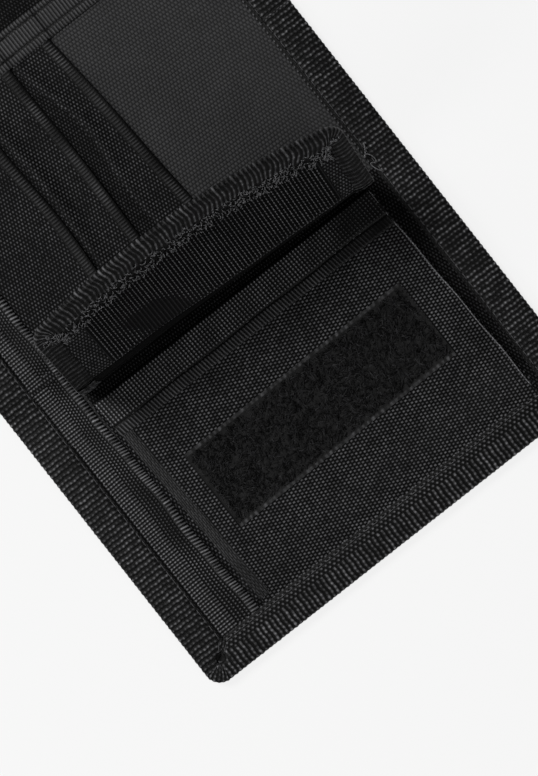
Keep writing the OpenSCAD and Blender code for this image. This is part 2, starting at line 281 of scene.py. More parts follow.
# ---- materials
class Shader:
    """A material's nodes, with short calls for the sums that a weave needs."""

    def __init__(self, name):
        self.material = bpy.data.materials.new(name)
        self.material.use_nodes = True
        self.tree = self.material.node_tree
        self.main = self.tree.nodes["Principled BSDF"]

    def node(self, kind, **settings):
        made = self.tree.nodes.new(kind)
        for key, value in settings.items():
            setattr(made, key, value)
        return made

    def join(self, source, target):
        if isinstance(source, (int, float)):
            target.default_value = source
        else:
            self.tree.links.new(source, target)

    def sum(self, operation, *values):
        made = self.node("ShaderNodeMath", operation=operation)
        for value, socket in zip(values, made.inputs):
            self.join(value, socket)
        return made.outputs[0]

    def scaled(self, value, gain, offset):
        """value times gain, plus offset."""
        return self.sum("ADD", self.sum("MULTIPLY", value, gain), offset)

    def cloth_uv(self):
        parts = self.node("ShaderNodeSeparateXYZ")
        self.join(self.node("ShaderNodeUVMap", uv_map="cloth_mm").outputs[0], parts.inputs[0])
        return parts.outputs[0], parts.outputs[1]

    def flat_place(self, a, b):
        """A vector from two values."""
        place = self.node("ShaderNodeCombineXYZ")
        self.join(a, place.inputs[0])
        self.join(b, place.inputs[1])
        return place.outputs[0]

    def noise(self, u, v, scale_u, scale_v, detail=2.0):
        """Noise over the cloth, scale_u and scale_v features a millimetre."""
        place = self.flat_place(self.sum("MULTIPLY", u, scale_u), self.sum("MULTIPLY", v, scale_v))
        made = self.node("ShaderNodeTexNoise")
        made.inputs["Scale"].default_value = 1.0
        made.inputs["Detail"].default_value = detail
        self.join(place, made.inputs["Vector"])
        return made.outputs["Fac"]

    def cell_noise(self, a, b):
        """A value from 0 to 1 that is the same all over one cell."""
        made = self.node("ShaderNodeTexWhiteNoise", noise_dimensions="2D")
        self.join(self.flat_place(a, b), made.inputs["Vector"])
        return made.outputs["Value"]

    def dome(self, share, width):
        """A hump across a cell: share runs from 0 to 1, and the hump is width of it wide."""
        off = self.sum("ABSOLUTE", self.sum("SUBTRACT", share, 0.5))
        square = self.sum("POWER", self.sum("MULTIPLY", off, 2 / width), 2.0)
        return self.sum("MAXIMUM", self.sum("SUBTRACT", 1.0, square), 0.0)

    def basket(self, across, along, pitch_across, pitch_along, width=1.0, length=1.0):
        """Staggered yarn crossings. Every second row is shifted by half a pitch."""
        row = self.sum("DIVIDE", along, pitch_along)
        row_index = self.sum("FLOOR", row)
        shift = self.sum("MULTIPLY", self.sum("MODULO", self.sum("ABSOLUTE", row_index), 2.0), 0.5)
        column = self.sum("ADD", self.sum("DIVIDE", across, pitch_across), shift)
        humps = self.dome(self.sum("FRACT", column), width), self.dome(self.sum("FRACT", row), length)
        return self.sum("MULTIPLY", *humps), self.cell_noise(self.sum("FLOOR", column), row_index)

    def tint(self, amount, dark, light):
        """A grey between dark and light, a little on the blue side."""
        mix = self.node("ShaderNodeMix", data_type="RGBA")
        for socket, value in (("A", dark), ("B", light)):
            mix.inputs[socket].default_value = (value, value, value * 1.04, 1)
        self.join(amount, mix.inputs["Factor"])
        self.join(mix.outputs["Result"], self.main.inputs["Base Color"])

    def bump(self, height, distance, strength=1.0):
        made = self.node("ShaderNodeBump")
        made.inputs["Distance"].default_value = distance * MM
        made.inputs["Strength"].default_value = strength
        self.join(height, made.inputs["Height"])
        self.join(made.outputs[0], self.main.inputs["Normal"])

    def finish(self, roughness, specular=0.5):
        self.main.inputs["Roughness"].default_value = roughness
        self.main.inputs["Specular IOR Level"].default_value = specular
        return self.material


def woven(name, pitch_x, pitch_y, dark, light, turned=False, depth=0.22, roughness=0.5, width=1.0, length=1.0,
          uneven=0.7, specular=0.2):
    """Basket-weave nylon. turned swaps the staggered rows for staggered columns."""
    s = Shader(name)
    u, v = s.cloth_uv()
    if turned:
        hump, yarn = s.basket(v, u, pitch_y, pitch_x, width, length)
    else:
        hump, yarn = s.basket(u, v, pitch_x, pitch_y, width, length)
    patch = s.noise(u, v, 0.09, 0.09)
    fibre = s.noise(u, v, 4.0, 4.0, 1.0)
    # Painted highlights and painted shade: each yarn is coloured lighter on its crown and darker towards the
    # gaps between yarns; the per-yarn and patch factors are an uneven tone.
    glow = s.sum("MULTIPLY", s.sum("POWER", hump, 1.4), s.scaled(yarn, uneven, 0.75 - uneven / 2))
    s.tint(s.sum("MULTIPLY", glow, s.scaled(patch, 1.0, 0.5)), dark, light)
    s.bump(s.sum("ADD", hump, s.sum("MULTIPLY", fibre, 0.15)), depth)
    return s.finish(roughness, specular)


def ribbed(name, dark, light, roughness=0.5, fibres=(6.0, 1.2), specular=0.2):
    """Woven tape whose ribs are in the mesh: its colour follows the relief, lighter on the rib crowns as
    painted highlights and darker between the ribs as painted shade, with fine fibres as bump.
    """
    s = Shader(name)
    u, v = s.cloth_uv()
    relief = s.node("ShaderNodeAttribute", attribute_name="relief").outputs["Fac"]
    fibre = s.noise(u, v, *fibres, 1.0)
    patch = s.noise(u, v, 0.11, 0.16)
    ramp = s.node("ShaderNodeMapRange")
    ramp.inputs["From Min"].default_value = 0.25
    ramp.inputs["From Max"].default_value = 0.95
    s.join(relief, ramp.inputs["Value"])
    glow = s.sum("MULTIPLY", s.sum("POWER", ramp.outputs[0], 2.2), s.scaled(fibre, 1.6, 0.1))
    s.tint(s.sum("MULTIPLY", glow, s.scaled(patch, 0.8, 0.6)), dark, light)
    s.bump(fibre, 0.08)
    return s.finish(roughness, specular)


def plain(name, dark, light, roughness, scale=2.0, specular=0.5, contrast=1.0, middle=0.5, patchy=0.0):
    """Fine yarn, felt or pile: an uneven shade with a little bump."""
    s = Shader(name)
    u, v = s.cloth_uv()
    spots = s.noise(u, v, scale, scale, 3.0)
    if contrast != 1.0:
        spots = s.scaled(s.sum("SUBTRACT", spots, 0.5), contrast, middle)
    if patchy:
        patch = s.noise(u, v, 0.09, 0.09)
        spots = s.sum("MULTIPLY", spots, s.scaled(patch, 2.4 * patchy, 1 - 1.2 * patchy))
    s.tint(spots, dark, light)
    s.bump(spots, 0.05)
    return s.finish(roughness, specular)


def clear_film():
    s = Shader("clear_film")
    s.main.inputs["Base Color"].default_value = (0.8, 0.82, 0.84, 1)
    s.main.inputs["Alpha"].default_value = 0.14
    s.bump(s.noise(*s.cloth_uv(), 0.08, 0.05), 0.6, 0.3)
    return s.finish(0.12)


def floor_material():
    s = Shader("pale_floor")
    s.main.inputs["Base Color"].default_value = (0.10, 0.10, 0.10, 1)
    s.main.inputs["Emission Color"].default_value = (1, 1, 1, 1)
    s.main.inputs["Emission Strength"].default_value = 0.82
    return s.finish(1.0, 0.0)


FINE = {"fibres": (5.0, 1.0)}
SHADED = {"depth": 0.2, "width": 0.75, "length": 0.8, "specular": 0.06}
MAT = {
    "lining": woven("lining_weave", 1.10, 1.14, 0.006, 0.040, depth=0.12, roughness=0.55, width=1.05,
                    length=1.05, uneven=0.3),
    "slot": woven("slot_weave", 0.98, 1.08, 0.0020, 0.090, width=0.70, length=0.78, specular=0.06),
    "pocket": woven("pocket_weave", 1.12, 1.04, 0.0002, 0.115, turned=True, depth=0.25, width=0.72,
                    length=0.85, specular=0.08),
    # pocket_inside and slot_inside are painted shade: darker, duller copies of the weave, for cloth that lies
    # in shade.
    "pocket_inside": woven("pocket_inside_weave", 0.94, 1.06, 0.0001, 0.030, **SHADED),
    "slot_inside": woven("slot_inside_weave", 0.90, 1.00, 0.0002, 0.050, **SHADED),
    "shell": woven("shell_weave", 0.80, 0.80, 0.002, 0.030, depth=0.14),
    "side_hem": woven("side_hem_twill", 0.6, 2.0, 0.001, 0.030, turned=True, depth=0.14),
    "binding": ribbed("binding_tape", 0.0002, 0.195, specular=0.12),
    # The hem tape's light colour is set above the other tapes': painted light, so that the pocket's hem reads
    # lit inside the flap's shadow; the window tapes share it.
    "hem": ribbed("hem_tape", 0.0010, 0.230, specular=0.12, **FINE),
    "slot_hem": ribbed("slot_hem_tape", 0.001, 0.100, specular=0.12, **FINE),
    "end_tape": ribbed("end_tape", 0.003, 0.055, **FINE),
    "strip": ribbed("strip_weave", 0.0002, 0.225, roughness=0.42, specular=0.12),
    "flap_band": ribbed("flap_binding_tape", 0.0004, 0.135, specular=0.10),
    # Far lighter than the sewing thread: on the flap's loose loops this is a painted highlight, standing in for
    # glints on the nylon.
    "bright_thread": plain("loose_thread", 0.010, 0.170, 0.4, specular=0.3, contrast=2.5),
    "loop_edge": ribbed("loop_tape_edge", 0.0015, 0.055, roughness=0.6),
    "hook_base": ribbed("hook_tape_base", 0.0030, 0.016, roughness=0.9, specular=0.05),
    "hook": plain("hook_nylon", 0.010, 0.095, 0.45, scale=0.9, specular=0.3, contrast=1.6, patchy=1.0),
    "pile": plain("loop_pile", 0.0006, 0.050, 0.8, scale=5.3, specular=0.10, contrast=3.0, middle=0.15),
    # Painted shade: a near-black, dull cloth for the flap's root lining and the bends at its hinge and crease,
    # which lie in shade.
    "crease_shade": plain("flap_crease_shade", 0.001, 0.003, 0.9, specular=0.05),
    # A painted highlight: far lighter than the pocket's weave, for the light caught along the pocket's folded
    # edge.
    "fold": woven("pocket_fold", 0.5, 0.9, 0.040, 0.260, depth=0.1),
    "thread": plain("sewing_thread", 0.020, 0.060, 0.42, scale=5.0, specular=0.3),
    "board": plain("stiffener_board", 0.10, 0.16, 0.9, scale=0.8),
    "film": clear_film(),
}


# ---- stage, light and camera
def add_light(name, place, size, power):
    light = bpy.data.lights.new(name, "AREA")
    light.size = size
    light.energy = power
    obj = linked(name, light)
    obj.location = place
    obj.rotation_euler = (Vector((0, -0.06, 0)) - Vector(place)).to_track_quat("-Z", "Y").to_euler()


def stage_and_light():
    bpy.ops.mesh.primitive_plane_add(size=6)
    floor = bpy.context.object
    floor.name = "floor"
    floor.data.materials.append(floor_material())
    world = bpy.data.worlds.new("soft_box")
    world.use_nodes = True
    world.node_tree.nodes["Background"].inputs[0].default_value = (1, 1, 1, 1)
    world.node_tree.nodes["Background"].inputs[1].default_value = 0.07
    bpy.context.scene.world = world
    add_light("key", (-0.34, 0.60, 0.88), 0.42, 10.6)
    add_light("left", (-0.85, -0.15, 0.62), 0.36, 4.0)
    add_light("front", (0.25, -0.80, 0.70), 0.40, 3.0)


CAMERA_UP = (0.6176, 0.7865, 0.0)  # the wallet lies turned in the picture
CAMERA_AIM = (-0.0041, -0.0804, 0.0)
CAMERA_HEIGHT = 0.70
VIEW_HEIGHT = 0.2217  # what the picture's long side spans on the floor
SENSOR = 36.0


def add_camera():
    data = bpy.data.cameras.new("camera")
    data.sensor_width = SENSOR
    data.lens = SENSOR * CAMERA_HEIGHT / VIEW_HEIGHT
    data.clip_end = 20
    camera = linked("camera", data)
    camera.location = Vector(CAMERA_AIM) + Vector((0, 0, CAMERA_HEIGHT))
    camera.rotation_euler = (0, 0, math.atan2(-CAMERA_UP[0], CAMERA_UP[1]))
    bpy.context.scene.camera = camera


add_camera()
stage_and_light()
bpy.context.scene.view_settings.view_transform = "Standard"


# ---- folded tapes with woven ribs
BEAD = 1.05  # width of the binding's beads
YARN = 1.9  # width of a yarn over the flap's edge
FLAP_PITCH = 1.42
TAPE_STEP = 0.26
SEAM_AT = 0.86  # how far in a folded tape is sewn down, as a share of its width


def binding_weave(along, across, inner_from):
    """Ribs across the tape, which break into staggered beads inner_from millimetres from its edge."""
    across = np.abs(across)
    inner = smoothstep(-0.4, 0.4, across - inner_from)
    row = np.floor(across / BEAD)
    sway = 0.06 * np.sin(across * 1.7 + along * 0.31) + 0.04 * np.sin(along * 1.1)
    rib_phase = along / RIB_PITCH + sway
    split = wave(across / 1.30 + 0.5 * np.mod(np.floor(rib_phase + 0.5), 2)) ** 0.7
    rib = wave(rib_phase) ** 0.9 * (0.58 + 0.42 * (1 - split))
    bead_phase = along / RIB_PITCH + 0.5 * np.mod(row, 2)
    beads = wave(bead_phase) * (1 - wave(across / BEAD)) ** 0.6 * 0.85
    uneven = 0.65 + 0.35 * hashed(np.floor(rib_phase + 0.5), np.floor(across / (2 * BEAD)))
    return rib * (1 - inner) * uneven + beads * inner * (0.85 + 0.15 * uneven)


def flap_weave(along, across):
    """Bold slanted loops of yarn over the flap's edge, and a tangle of zigzag stitches inside them."""
    across = np.abs(across)
    chevron = 0.17 * np.sqrt((across - 3.0) ** 2 + 0.5) + 0.30 * ripple(along, across, 6, 19)
    outer = wave(along / FLAP_PITCH + chevron) ** 0.9 * (0.8 + 0.2 * wave(across / YARN))
    bend = 0.34 * np.sin(2 * math.pi * across / 2.1 + 1.9 * np.sin(along / 1.7))
    tangle = wave(along / 1.15 - 0.35 * across + bend) ** 0.8
    tangle = tangle * (0.62 + 0.38 * np.sin(along * 2.3 + across * 4.1))
    inner = smoothstep(6.2, 6.8, across)
    uneven = 0.6 + 0.4 * hashed(np.floor(along / FLAP_PITCH), np.floor(across / YARN))
    return (outer * (1 - inner) + 0.7 * tangle * inner) * uneven


def folded_tape(name, outer, inner, z_low, z_top, material, weave, place=None, height=0.26, puff=0.25, sink=0.0,
                dip=None):
    """A tape folded over an edge. outer and inner are stations by 2: the edge, and the tape's inner end.
    z_low and z_top give the heights of its underside and upper side at each station. Returns the piece and
    the line that it is sewn along."""
    n = len(outer)
    width = lengths(inner - outer)
    inward = (inner - outer) / width
    width = width[:, 0]
    full = width.max()
    along = np.concatenate([[0], np.cumsum(lengths(np.diff(outer, axis=0)))])
    z_low, z_top = (np.broadcast_to(np.asarray(z, float), (n,)) for z in (z_low, z_top))
    upper_n, turn_n, under_n = int(full / TAPE_STEP), 9, 12
    lip = 0.06 * full
    # One column of points after another, from the inner end of the underside, round the edge and back on the
    # upper side: distance from the edge, height, which way is out (level, up) and the way along the cloth
    columns = [(width * q, z_low, 0, -1, -width * q) for q in np.linspace(1, 0.06, under_n)]
    for a in np.linspace(-90, 90, turn_n + 2)[1:-1] * math.pi / 180:
        rise = (z_low + z_top) / 2 + (z_top - z_low) / 2 * math.sin(a)
        columns.append((lip * (1 - math.cos(a)), rise, math.cos(a), math.sin(a), lip * math.sin(a)))
    for q in np.linspace(0.06, 1, upper_n):
        swell = puff * math.sin(math.pi * min(1, q / 0.97)) ** 0.7 - 0.18 * bell(q - SEAM_AT, 0.035)
        end_drop = sink * smoothstep(0.88, 1.0, q)
        columns.append((width * q, z_top + (swell - end_drop) * np.minimum(1, width / full), 0, 1, width * q))
    offset, rise, out_x, out_z, path = (
        np.array([np.broadcast_to(value, (n,)) for value in values], float).T for values in zip(*columns)
    )
    column = np.arange(len(columns))[None]
    relief = weave(along[:, None], path)
    if dip is not None:
        # only the upper side dips: the underside has to stay on the panel
        drop = dip(outer, inward, offset) * (column >= under_n + turn_n)
        # Where the tape dips, its colour is darkened too: painted shade in the dip.
        relief = relief * np.clip(1 + 1.2 * drop, 0, 1)
        rise = rise + drop
    lift = np.where(column < under_n - 2, 0.0, height * (relief - 1.0))
    x, y = (outer[:, k:k + 1] + inward[:, k:k + 1] * (offset - out_x * lift) for k in (0, 1))
    surface = xyz(x, y, rise + out_z * lift)
    # The inside of the tape, from the upper inner end back to the under inner end
    back = [1.0, 0.5, 0.12, 0.12, 0.5, 1.0]
    back_z = [z_top - TAPE_T - sink] + [z_top - TAPE_T] * 2 + [z_low + TAPE_T] * 3
    inside = np.stack([xyz(*(outer + inward * width[:, None] * q).T, z) for q, z in zip(back, back_z)], 1)
    points = np.concatenate([surface, inside], 1)
    if place is not None:
        points = placed(place, *points.transpose(2, 0, 1))
    cols = points.shape[1]
    flat = np.zeros((n, len(back)))
    ends = []
    for base, flip in ((0, 1), ((n - 1) * cols, -1)):
        for left in range((cols - 2) // 2):
            right = cols - 1 - left
            ends.append([base + k for k in (left, left + 1, right - 1, right)][::-flip])
    quads = np.concatenate([grid_quads(n, cols, True)[:, ::-1], np.array(ends)])
    uv = xyz(along[:, None], np.concatenate([path, flat], 1))
    tape = add_mesh(name, points, quads, material, uv, np.concatenate([relief, flat], 1))
    return tape, points[:, under_n + turn_n + int(SEAM_AT * upper_n)]


def stitch_row(name, seam):
    """A row of sewn stitches along a line of points: each lies on the tape, and dives in at its ends."""
    long, gap = 7, 2
    first = np.arange(0, len(seam) - long, long + gap)
    paths = seam[first[:, None] + np.array([0, 1, long // 2, long - 1, long])[None]]
    paths[..., 2] += np.array([-0.25, 0.12, 0.2, 0.12, -0.25])
    return tubes(name, paths, 0.17, MAT["thread"])


def end_path(y_from):
    """Stations along the binding from the left edge at y_from, round the free end at -y, to the right edge.
    Returned for a free end at y = 0 with the panel towards +y."""
    step = RIB_PITCH / 5
    left_y = np.arange(y_from, CORNER_R, -step)
    arc = np.linspace(math.pi, 1.5 * math.pi, int(CORNER_R * math.pi / 2 / step) + 2)[1:-1]
    rim = np.array([-HALF_W + CORNER_R, CORNER_R]) + CORNER_R * xyz(np.cos(arc), np.sin(arc))
    hub = np.array([-HALF_W + CORNER_PIT, CORNER_PIT])
    flat_x = np.arange(-HALF_W + CORNER_R, 0, step)
    outer = np.concatenate([xyz(-HALF_W, left_y), rim, xyz(flat_x, 0.0)])
    inner = np.concatenate([
        xyz(-HALF_W + np.minimum(BAND_W, np.maximum(left_y, CORNER_PIT)), left_y),
        hub + 0.25 * (rim - hub) / lengths(rim - hub),
        xyz(flat_x, np.minimum(BAND_W, np.maximum(flat_x + HALF_W, CORNER_PIT))),
    ])
    return (np.concatenate([side, side[-2::-1] * [-1.0, 1.0]]) for side in (outer, inner))


def binding(half):
    """The binding of one end of the wallet, from the middle of the centre panel round the free end and back."""
    free_y, fold_y, direction, _ = half_ends(half)
    outer, inner = end_path(abs(Y_MIDDLE - free_y))
    for side in (outer, inner):
        side[:, 1] = free_y + direction * side[:, 1]
    climb = smoothstep(-2, 12, (outer[:, 1] - fold_y) * direction) * (outer[:, 0] < 0)
    right_drop = 0.35 * smoothstep(HALF_W - 30, HALF_W - 1, outer[:, 0])
    top = Z_BINDING - 0.25 - right_drop + (span("binding_left_centre")[1][2] - Z_BINDING) * climb
    top = top + 0.12 * ripple(outer[:, 0], outer[:, 1], 45, 3)

    def corner_dip(edge, inward, offset):
        """The folded corners: a pit where the ribs fan out, and a mitred crease from it to the inner corner.
        The tape's colour is also darkened there as painted shade.
        """
        spot = edge[:, None] + inward[:, None] * offset[:, :, None]
        from_side = HALF_W - np.abs(spot[..., 0])
        from_end = np.abs(spot[..., 1] - free_y)
        near_pit = np.hypot(from_side - CORNER_PIT, from_end - CORNER_PIT)
        on_mitre = smoothstep(5.5, 7.5, from_side) * bell(from_side - from_end, 0.7)
        return -1.3 * bell(near_pit, 1.2) - 0.16 * on_mitre

    on_end = smoothstep(6, 12, HALF_W - np.abs(outer[:, 0]))[:, None]
    in_corner = lengths(inner - outer)[:, 0] < BAND_W - 0.1

    def weave(along, across):
        """Beads from nearer the edge along the free end, and a flatter, lighter weave there: the lighter colour
        is painted light, as the lamps light the free end less.
        """
        return binding_weave(along, across, 10.0 - 3.2 * on_end) * (1 - 0.06 * on_end) + 0.09 * on_end

    name = f"binding_{half}_half"
    tape, seam = folded_tape(name, outer, inner, 0.04, top, MAT["binding"], weave,
                             sink=np.where(in_corner, 0.05, 0.35), dip=corner_dip)
    for obj in (tape, stitch_row(name + "_stitches", seam)):
        bend_with(obj)
    replace_half(half, ("binding_left", "binding_right"), ends=("binding_end",))


def loose_thread():
    """A wavy end of sewing thread that has come loose at the inner edge of the right binding."""
    t = np.linspace(0, 1, 40)
    x = HALF_W - BAND_W + 1.0 + 1.3 * np.sin(2 * math.pi * (2.2 * t + 0.1)) * (1 - 0.4 * t)
    y = Y_FOLD_COIN + 2.5 - 9.0 * t + 0.9 * np.sin(2 * math.pi * 3.1 * t)
    z = Z_BINDING + 0.15 + 0.35 * np.sin(math.pi * t) ** 0.5
    obj = tubes("binding_loose_thread", xyz(x, y, z)[None], 0.17, MAT["bright_thread"])
    bend_with(obj)


binding("coin")
loose_thread()
binding("third")


# ---- big sheets that cross a fold
def corner_hollow(x, y, free_y):
    """How far the layers under the binding give way at its folded corners."""
    near = np.hypot(HALF_W - np.abs(x) - 8.0, np.abs(y - free_y) - 8.0)
    return np.exp(-((near / 3.2) ** 4))


def big_sheet(part, half, z_top, uneven):
    """Lining or shell from the middle of the centre panel to one free end, inside the binding."""
    free_y, _, direction, _ = half_ends(half)
    inset = 1.2
    y_end = free_y + direction * inset
    y = np.linspace(y_end, Y_MIDDLE, int(abs(Y_MIDDLE - y_end) / 0.9))
    cut = CORNER_R - inset
    gap = np.abs(y - y_end)
    half_width = SHEET_HALF - np.where(gap < cut, cut - np.sqrt(np.maximum(0, cut**2 - (cut - gap) ** 2)), 0)
    x = half_width[:, None] * np.linspace(-1, 1, 110)[None]
    y = np.broadcast_to(y[:, None], x.shape)
    top = z_top + uneven * (ripple(x, y, 38, 11) - 1) * 0.5
    if uneven > 0:
        top = top - corner_hollow(x, y, free_y)
    x, y, top = (values[:, ::direction] for values in (x, y, top))
    obj = cloth(f"{part}_{half}_half", x, y, top, 0.45, MAT[part])
    bend_with(obj)
    replace_half(half, (part,))


for half in ("coin", "third"):
    big_sheet("lining", half, Z_INSIDE, 0.1)
    big_sheet("shell", half, Z_SHELL_TOP, 0.0)


# ---- strip along the left edge
STRIP_INNER = -HALF_W + 22.9
STRIP_EDGE = -HALF_W + BAND_W
STRIP_PITCH = 1.01
RIDGE_W = 2.6


def pocket_skew(y):
    """The coin pocket is sewn on a little askew: how far it leans to +x at y."""
    return 1.3 - 2.8 * np.clip((y - Y_FREE - 10) / 76, 0, 1.1)


def strip_surface(x, y, fold_y, direction):
    """Height and relief of the edge strip: a ribbed band, a dotted weave and a raised ribbed ridge."""
    low = Z_INSIDE + 0.5
    high = span("edge_strip_centre")[1][2] + 0.1
    base = low + (high - low) * smoothstep(-2, 12, (y - fold_y) * direction)
    across = x - STRIP_EDGE
    ridge_from = STRIP_INNER - STRIP_EDGE - RIDGE_W
    band = 1 - smoothstep(3.9, 4.6, across)
    ridge = smoothstep(ridge_from, ridge_from + 0.4, across + 0.2 * np.sin(y / 4.3))
    rib_band = wave(y / STRIP_PITCH + 0.18 * ripple(x, y, 11, 29)) ** 0.8 * (0.55 + 0.45 * wave(across / 1.05))
    slanted = y / STRIP_PITCH + (0.16 + 0.07 * np.sin(y / 6.1)) * across + 0.14 * ripple(y, 0 * y, 9, 27)
    rib_ridge = wave(slanted) ** 0.85 * (0.68 + 0.32 * hashed(np.floor(slanted + 0.5), 1.0))
    dots = wave(y / STRIP_PITCH + 0.5 * np.mod(np.floor(across), 2)) ** 0.7 * (1 - wave(across)) ** 0.7
    faint = 0.85 + 0.25 * ripple(x, y, 22, 23) + 0.10 * (1 - smoothstep(4, 7, across))
    relief = band * rib_band + ridge * rib_ridge + (1 - np.minimum(1, band + ridge)) * dots * faint
    crown = 0.45 * np.sin(math.pi * np.clip((across - ridge_from) / RIDGE_W, 0, 1)) + 0.2 * band
    return base + crown + 0.18 * (relief - 1) + 0.10 * ripple(x, y, 30, 21), relief


def edge_strip(half):
    """The strip from the middle of the centre panel to one free end, under the left binding's inner edge."""
    free_y, fold_y, direction, _ = half_ends(half)
    y_end = free_y + direction * 2.0
    y = np.linspace(y_end, Y_MIDDLE, int(abs(Y_MIDDLE - y_end) / 0.27))
    x, y = (v[:, ::direction] for v in np.meshgrid(spaced(-SHEET_HALF + 0.6, STRIP_INNER, 0.235), y))
    height, relief = strip_surface(x, y, fold_y, direction)
    pulled = pocket_skew(y) * 0.8 + 0.30 * np.sin(y / 7.3) + 0.15 * np.sin(y / 2.9)
    x = x + pulled * smoothstep(STRIP_EDGE, STRIP_INNER, x)
    under_band = (x < STRIP_EDGE - 0.3) | (np.abs(y - free_y) < BAND_W - 0.3)
    covered = Z_INSIDE + 0.25 + 1.4 * (np.abs(y - free_y) > 80)
    height = np.where(under_band, np.minimum(height, covered), height) - corner_hollow(x, y, free_y)
    obj = cloth(f"edge_strip_{half}_half", x, y, height, 0.42, MAT["strip"], relief)
    bend_with(obj)
    replace_half(half, ("edge_strip",), folds=False)


edge_strip("coin")
edge_strip("third")


# ---- coin pocket
(POCKET_X0, _, _), (POCKET_X1, Y_MOUTH, Z_POCKET) = span("pocket_front")
Y_HEM = span("pocket_hem_tape")[0][1]
Y_PANEL = Y_FREE + BAND_W  # the binding's inner edge at the free end
POCKET_Y0 = Y_PANEL - 3
POCKET_CLIMB = 17.0
HEM_PITCH = 1.07


def pocket_top(x, y):
    """Height of the pocket's front: it climbs from the binding, sags a little and dips to its sewn sides."""
    climb = smoothstep(Y_PANEL - 0.6, Y_PANEL + POCKET_CLIMB, y)
    sag = 0.55 * np.sin(math.pi * np.clip((y - Y_FREE - 16) / 62, 0, 1))
    shoulder = 0.54 * (1 - smoothstep(0, 6, np.minimum(x - POCKET_X0, POCKET_X1 - x)))
    full = Z_POCKET - 0.25 - sag - shoulder + 0.22 * ripple(x, y, 34, 5)
    return Z_INSIDE + 0.45 + (full - Z_INSIDE - 0.45) * climb


def pocket_front():
    x, y = lattice(POCKET_X0, POCKET_X1, 0.9, POCKET_Y0, Y_MOUTH, 0.9)
    obj = cloth_on("coin_panel", "pocket_fabric", ["pocket_front"], "pocket_front_cloth", x + pocket_skew(y), y,
                   pocket_top(x, y), 0.55, "pocket")


def pocket_hem():
    """Tape along the pocket's open edge: fine ribs, and a sewn groove that parts it in two bands."""
    x, y = lattice(POCKET_X0 - 0.1, POCKET_X1 + 0.1, 0.21, Y_HEM, Y_MOUTH + 0.25, 0.25)
    across = y - Y_HEM
    groove_at = 3.6 + 0.15 * np.sin(x / 5.0)
    groove = bell(across - groove_at, 0.32)
    upper = smoothstep(-0.2, 0.2, across - groove_at)
    low_rib = wave(x / HEM_PITCH + 0.10 * across) ** 0.8
    up_rib = wave((x + 0.25) / HEM_PITCH) ** 0.9 * (0.45 + 0.55 * (1 - wave(across)))
    # Painted shadow of the flap: the hem darkens towards its right end; the ripple adds an uneven tone.
    flap_shadow_and_tone = 1 - 0.35 * smoothstep(25, 50, x) + 0.15 * ripple(x, y, 8, 17)
    relief = (low_rib * (1 - upper) * 0.68 + up_rib * upper) * (1 - groove) * flap_shadow_and_tone
    edge = smoothstep(0, 0.5, across) * smoothstep(0, 0.6, Y_MOUTH + 0.3 - y)
    top = pocket_top(x, y) + 0.12 + 0.24 * edge - 0.22 * groove + 0.15 * (relief - 1)
    top = top + 0.08 * ripple(x, y, 9, 15)
    cloth_on("coin_panel", "hem_tape", ["pocket_hem_tape"], "pocket_hem", x + pocket_skew(y), y, top, 0.35,
             "hem", relief)


def side_hem(name, x_from, x_to):
    """Plain turned hem along a side of the pocket."""
    x, y = lattice(x_from, x_to, 0.3, Y_PANEL + 1.5, Y_HEM + 0.2, 0.8)
    swell = np.sin(math.pi * np.clip((x - x_from) / (x_to - x_from), 0, 1)) ** 0.6
    top = pocket_top(x, y) + 0.04 + 0.22 * swell + 0.05 * ripple(x, y, 7, 8)
    cloth_on("coin_panel", "pocket_fabric", [], name, x + pocket_skew(y), y, top, 0.25, "side_hem")


def pocket_fold(name, x_at):
    """The folded edge along a side of the pocket: a fine rolled line in a much lighter material, a painted
    highlight along the fold.
    """
    y = spaced(Y_PANEL + 2, Y_MOUTH, 1.0)
    x = x_at + 0.12 * np.sin(y / 3.1)
    obj = tubes(name, xyz(x + pocket_skew(y), y, pocket_top(x, y) + 0.05)[None], 0.22, MAT["fold"])
    belongs(obj, "coin_panel", "pocket_fabric")


def gusset(side, x_top, x_out):
    """Folded side wall of the pocket: in from the front's edge, and out again to the lining."""
    t = np.linspace(0, 1, 16)
    x = x_top + (x_out - x_top) * t**1.3 + np.sin(math.pi * t) * (x_top - x_out) * 0.35
    x, y = np.meshgrid(x, spaced(Y_PANEL + 2, Y_MOUTH - 0.3, 1.0))
    lean = 1 - smoothstep(0, 8, y - Y_PANEL - 1)
    top = (pocket_top(np.full_like(x, x_top), y) - 0.5) * (1 - t) + (Z_INSIDE + 0.3) * t
    top = top * (1 - lean) + np.minimum(top, Z_INSIDE + 0.6) * lean
    turn = -1 if x_out < x_top else 1
    x, y, top = (values[:, ::turn] for values in (x, y, top))
    cloth_on("coin_panel", "pocket_fabric", [f"gusset_{side}"], f"gusset_cloth_{side}", x + pocket_skew(y), y,
             top, 0.3, "slot")


def pocket_floor():
    """Painted shade behind the pocket: a darker cloth that shows in its mouth and in the gaps beside it, where
    shade falls.
    """
    x, y = lattice(STRIP_INNER - 0.5, HALF_W - BAND_W + 0.3, 1.0,
                   Y_PANEL - 1, span("flap_riser")[0][1] - 0.1, 1.0)
    cloth_on("coin_panel", "pocket_fabric", [], "pocket_back_cloth", x, y,
             Z_INSIDE + 0.25 + 0.06 * ripple(x, y, 18, 33), 0.2, "pocket_inside")


def fold_shade_band():
    """Painted shade over the third fold: a dark band of cloth from the slots' end tape on, where the fold lies
    in shade.
    """
    x, y = lattice(STRIP_INNER - 0.5, HALF_W - BAND_W + 0.5, 1.2,
                   span("slot_end_tape")[1][1] - 0.4, Y_FOLD_THIRD + 11, 0.5)
    top = Z_INSIDE + 0.22 + 0.05 * ripple(x, y, 20, 35)
    obj = cloth("third_fold_shade_band", x, y, top, 0.2, MAT["pocket_inside"])
    bend_with(obj)


